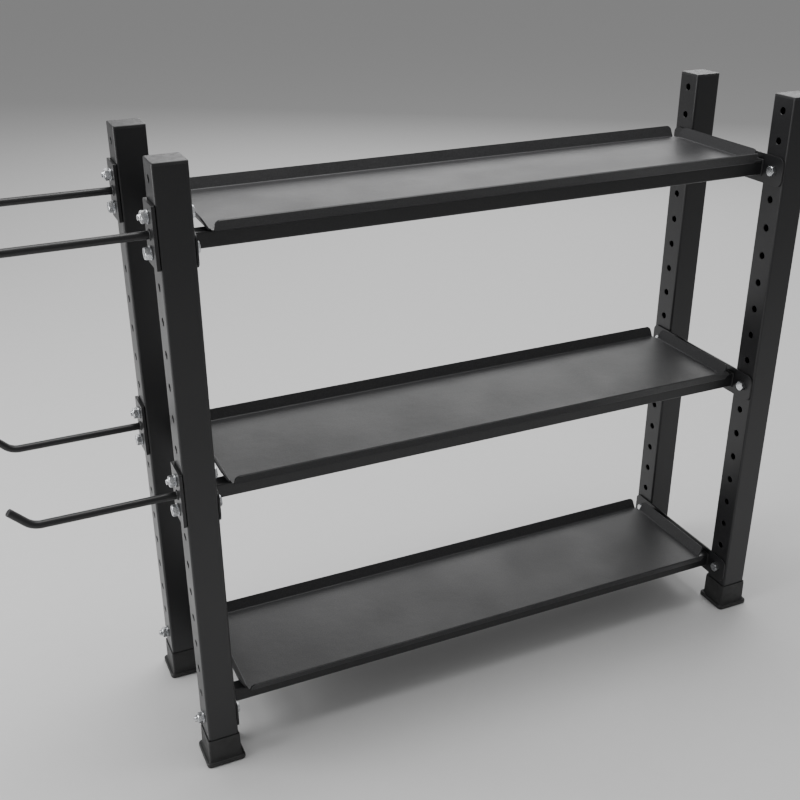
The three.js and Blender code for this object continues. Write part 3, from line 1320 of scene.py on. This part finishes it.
@dataclass
class Fasteners:
    """Sixteen hexagon bolts with their nuts and washers.

    Attributes:
        shank: Radius of the shank.
        root: Radius at the bottom of the thread.
        thread: Pitch of the thread.
        threaded: Length of the thread.
        thread_steps: How many steps each turn of the thread has.
        flats: Distance across the flats.
        head: Height of the head.
        nut: Height of the nut.
        washer_radius: Radius of a washer.
        washer: Thickness of a washer.
        length: Length of a bolt from under its head.
    """

    shank: float = 0.005
    root: float = 0.0042
    thread: float = 0.0015
    threaded: float = 0.026
    thread_steps: int = 28
    flats: float = 0.016
    head: float = 0.0064
    nut: float = 0.008
    washer_radius: float = 0.01
    washer: float = 0.002
    length: float = 0.070

    def build_hexagon(self, name: str, start: float, height: float, both: bool) -> bpy.types.Object:
        """Builds a hexagon along X with its corners turned off.

        Args:
            name: Its name.
            start: Where its inner face lies.
            height: Its height.
            both: Whether both faces are turned, as on a nut.

        Returns:
            The hexagon.
        """
        corner = self.flats / 2 / math.cos(math.pi / 6)
        middle = Vector((start + height / 2, 0, 0))
        hexagon = add_round(name, corner, height, middle, Axis.X, 6)
        turning = add_round("turning", corner + 0.00005, height, middle, Axis.X, 72)
        ends = (-1, 1) if both else (1,)
        for sign in ends:
            round_edges(
                turning,
                0.0014,
                1,
                lambda edge, sign=sign: all(
                    (p.co.x - middle.x) * sign > height / 2 - 1e-6 for p in edge.verts
                ),
            )
        combine(hexagon, turning, "INTERSECT")
        soften(hexagon, 0.0002, 2, 25)
        return hexagon

    def build_washer(self) -> bpy.types.Object:
        """Builds a washer from zero along X, with its hole.

        Returns:
            The washer.
        """
        middle = Vector((self.washer / 2, 0, 0))
        washer = add_round("washer", self.washer_radius, self.washer, middle, Axis.X, 56)
        combine(washer, add_round("bore", self.shank + 0.0004, 0.01, middle, Axis.X, 40))
        soften(washer, 0.0003, 2)
        smooth(washer, 30)
        return washer

    def build_thread(self) -> bpy.types.Object:
        """Builds the bolt's threaded end, running in towards the head.

        Returns:
            The thread.
        """
        rest()
        end = -self.length
        bpy.ops.mesh.primitive_plane_add(size=self.thread, location=(0, 0, 0))
        ridge = bpy.context.active_object
        ridge.name = "thread"
        settle(ridge)
        turns = math.floor((self.threaded - 2 * self.thread) / self.thread)
        with editing(ridge, Pick.VERTICES, lambda point: point.co.y > 0 and point.co.x > 0):
            bpy.ops.mesh.delete(type="VERT")
        corners = (
            Vector((0, self.root - 0.0003, 0)),
            Vector((self.thread, self.root - 0.0003, 0)),
            Vector((self.thread / 2, self.shank - 0.00002, 0)),
        )
        for point, place in zip(ridge.data.vertices, corners, strict=True):
            point.co = place + Vector((end + self.thread * 0.8, 0, 0))
        apply_modifier(
            ridge,
            "SCREW",
            axis="X",
            angle=2 * math.pi,
            screw_offset=self.thread,
            iterations=turns,
            steps=self.thread_steps,
            render_steps=self.thread_steps,
            use_merge_vertices=False,
        )
        with editing(ridge, Pick.EDGES):
            bpy.ops.mesh.remove_doubles(threshold=1e-6)
            bpy.ops.mesh.select_all(action="DESELECT")
            bpy.ops.mesh.select_non_manifold()
            bpy.ops.mesh.fill()
            bpy.ops.mesh.select_all(action="SELECT")
            bpy.ops.mesh.normals_make_consistent(inside=False)
        return ridge

    def build_bolt(self) -> bpy.types.Object:
        """Builds a bolt whose head bears at zero and points along +X.

        Returns:
            The bolt.
        """
        head = self.build_hexagon("head", 0, self.head, False)
        end = -self.length
        plain = self.length - self.threaded
        shank = add_round(
            "shank",
            self.shank,
            plain + 0.001,
            Vector((0.0005 - plain / 2, 0, 0)),
            Axis.X,
            40,
        )
        core = add_round(
            "core",
            self.root,
            self.threaded + 0.002,
            Vector((end + (self.threaded + 0.002) / 2, 0, 0)),
            Axis.X,
            40,
        )
        soften(core, 0.0009, 2, 60)
        bolt = join("bolt", [head, shank, core, self.build_thread()])
        smooth(bolt, 28)
        return bolt

    def build_nut(self) -> bpy.types.Object:
        """Builds a nut from the washer outwards along +X.

        Returns:
            The nut.
        """
        nut = self.build_hexagon("nut", self.washer, self.nut, True)
        middle = Vector((self.washer + self.nut / 2, 0, 0))
        bore = add_round("bore", self.shank + 0.0001, self.nut * 2, middle, Axis.X, 40)
        combine(nut, bore)
        smooth(nut, 28)
        return nut

    def build(self, finishes: Finishes) -> None:
        """Builds every bolt, nut and washer.

        Args:
            finishes: The rack's finishes.
        """
        bolt, nut, washer = self.build_bolt(), self.build_nut(), self.build_washer()
        nodes = [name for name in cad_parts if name.startswith("bolt_")]
        for node in sorted(nodes):
            self.place_set(node, (bolt, nut, washer), finishes)
        for part in (bolt, nut, washer):
            bpy.data.objects.remove(part, do_unlink=True)

    def place_set(
        self,
        node: str,
        parts: tuple[bpy.types.Object, bpy.types.Object, bpy.types.Object],
        finishes: Finishes,
    ) -> None:
        """Copies one bolt, its nut and its washer into place.

        Args:
            node: The bolt's node.
            parts: The bolt, the nut and the washer to copy.
            finishes: The rack's finishes.
        """
        bolt, nut, washer = parts
        nut_node = node.replace("bolt_", "nut_")
        bolt_low, bolt_high = corners_of(node)
        nut_low, nut_high = corners_of(nut_node)
        centre = (bolt_low + bolt_high) / 2
        faces_right = nut_low.x < bolt_low.x + self.length / 2
        half_turn = Matrix.Rotation(math.pi, 4, "Z")
        head_turn, nut_turn = Matrix.Identity(4), half_turn
        bearing, seat = bolt_high.x - self.head, nut_high.x
        if not faces_right:
            head_turn, nut_turn = nut_turn, head_turn
            bearing, seat = bolt_low.x + self.head, nut_low.x
        word = node.removeprefix("bolt_")
        tilt = Matrix.Rotation(math.radians(sum(map(ord, word)) % 5 * 3 - 6), 4, "X")
        at_head = Matrix.Translation(Vector((bearing, centre.y, centre.z)))
        at_nut = Matrix.Translation(Vector((seat, centre.y, centre.z)))
        places = (
            (bolt, f"hex_bolt_{word}", at_head @ head_turn, node),
            (nut, f"hex_nut_{word}", at_nut @ nut_turn @ tilt, nut_node),
            (washer, f"nut_washer_{word}", at_nut @ nut_turn, nut_node),
        )
        for part, name, place, stands_for in places:
            copy = copy_of(part, name, place)
            hand_over(copy, finishes.zinc, RACK_BODY, stands_for)


# ---------------------------------------------------------------- studio


@dataclass
class Studio:
    """The floor, the lights and the camera.

    Attributes:
        eye: The camera's place over the rack's origin.
        heading: The camera's turn from +Y towards +X, in radians.
        dip: How far it looks down, in radians.
        roll: Its roll, in radians.
        lens: Its focal length in millimetres.
        floor_size: The width of the floor.
    """

    eye: Vector = field(default_factory=lambda: Vector((-0.71845, -1.55371, 1.34356)))
    heading: float = 0.4210
    dip: float = 0.4467
    roll: float = -0.0043
    lens: float = 49.599
    floor_size: float = 30.0

    def build_floor(self) -> None:
        """Lays the floor under the rack."""
        rest()
        bpy.ops.mesh.primitive_plane_add(size=self.floor_size, location=(0, 0, 0))
        floor = bpy.context.active_object
        floor.name = "studio_floor"
        floor.data.materials.append(StudioPaper().material())

    def add_light(
        self,
        name: str,
        place: tuple[float, float, float],
        target: tuple[float, float, float],
        size: tuple[float, float],
        power: float,
    ) -> None:
        """Adds one soft rectangular light.

        Args:
            name: Its name.
            place: Where it stands.
            target: What it points at.
            size: Its width and height.
            power: Its power in watts.
        """
        data = bpy.data.lights.new(name, "AREA")
        data.shape = "RECTANGLE"
        data.size, data.size_y = size
        data.energy = power
        light = bpy.data.objects.new(name, data)
        light.location = place
        light.rotation_euler = (Vector(target) - Vector(place)).to_track_quat("-Z", "Y").to_euler()
        bpy.context.scene.collection.objects.link(light)

    def build_lights(self) -> None:
        """Sets the surroundings and the soft lights."""
        world = bpy.data.worlds.new("studio_air")
        world.use_nodes = True
        air = world.node_tree.nodes["Background"]
        air.inputs["Color"].default_value = (1, 1, 1, 1)
        air.inputs["Strength"].default_value = 0.31
        bpy.context.scene.world = world
        self.add_light("overhead", (0.2, 0.3, 3.2), (0.1, 0, 0.4), (2.6, 1.6), 70)
        self.add_light("left_side", (-3.0, 0.4, 1.2), (0, 0, 0.5), (2.2, 2.0), 75)
        self.add_light("behind_right", (2.2, 3.1, 2.5), (0.1, 0, 0.5), (4.4, 1.8), 72)

    def build_camera(self) -> None:
        """Adds the camera and makes it the scene's."""
        ahead = Vector(
            (
                math.sin(self.heading) * math.cos(self.dip),
                math.cos(self.heading) * math.cos(self.dip),
                -math.sin(self.dip),
            )
        )
        across = Vector((math.cos(self.heading), -math.sin(self.heading), 0))
        above = across.cross(ahead)
        right = across * math.cos(self.roll) + above * math.sin(self.roll)
        up = above * math.cos(self.roll) - across * math.sin(self.roll)
        data = bpy.data.cameras.new("view")
        data.lens = self.lens
        data.clip_end = 100
        camera = bpy.data.objects.new("view", data)
        camera.matrix_world = Matrix.Translation(self.eye) @ Matrix(
            (
                (right.x, up.x, -ahead.x),
                (right.y, up.y, -ahead.y),
                (right.z, up.z, -ahead.z),
            )
        ).to_4x4()
        bpy.context.scene.collection.objects.link(camera)
        bpy.context.scene.camera = camera

    def build(self) -> None:
        """Builds the whole studio."""
        self.build_floor()
        self.build_lights()
        self.build_camera()


def main() -> None:
    """Builds the rack and its studio."""
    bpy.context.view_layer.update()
    finishes = Finishes()
    Uprights().build(finishes)
    Caps().build(finishes)
    Boots().build(finishes)
    ShelfFrames().build(finishes)
    Trays().build(finishes)
    Hooks().build(finishes)
    Fasteners().build(finishes)
    Studio().build()
    rest()


if __name__ == "__main__":
    main()
